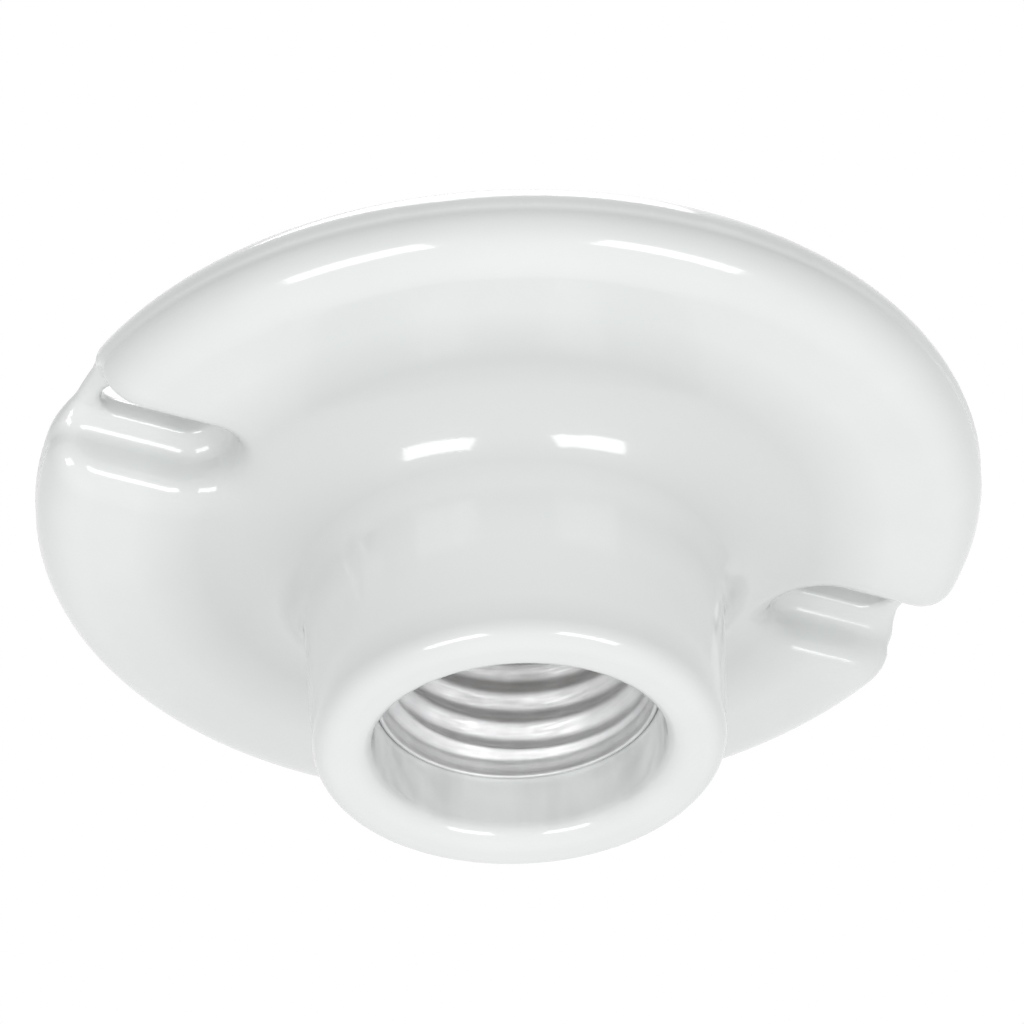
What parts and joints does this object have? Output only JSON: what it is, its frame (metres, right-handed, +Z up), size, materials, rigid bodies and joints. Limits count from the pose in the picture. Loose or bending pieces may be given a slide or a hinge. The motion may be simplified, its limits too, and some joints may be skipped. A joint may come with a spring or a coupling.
{
  "type": "lamp holder",
  "caption": "Keyless ceiling lamp holder of glazed porcelain: a round rolled flange with two screw slots, a short neck and a recessed aluminium screw shell.",
  "frame": {"origin": "centre of the flange's back plane, which meets the outlet box or ceiling", "axes": "+Z up into the outlet box, away from the lamp; X through the two box screw slots"},
  "size_m": [0.0952, 0.0952, 0.0497],
  "materials": {
    "porcelain": "gloss",
    "aluminium": "satin",
    "brass": "satin",
    "nickel": "satin"
  },
  "bodies": {
    "holder": {"porcelain_body": "porcelain", "screw_shell": "aluminium", "contact_leaf": "brass", "contact_rivet": "brass", "shell_rivet_neutral": "nickel", "shell_rivet_plain": "nickel", "hot_strap": "brass", "neutral_strap": "nickel"},
    "button": {"contact_button": "brass"},
    "hot_screw": {"hot_screw": "brass"},
    "neutral_screw": {"neutral_screw": "nickel"}
  },
  "joints": [
    {"name": "contact_press", "type": "slide", "parent": "holder", "child": "button", "axis": [0, 0, 1], "range_m": [0, 0.0012], "stiffness_N_per_m": 2500, "springref_m": -0.0002, "deforming": ["contact_leaf"]},
    {"name": "hot_screw_turn", "type": "hinge", "parent": "holder", "child": "hot_screw", "pos_m": [0.0095, 0.009, 0.005], "axis": [0, 0, 1], "continuous": true},
    {"name": "neutral_screw_turn", "type": "hinge", "parent": "holder", "child": "neutral_screw", "pos_m": [-0.0095, -0.009, 0.005], "axis": [0, 0, 1], "continuous": true}
  ]
}
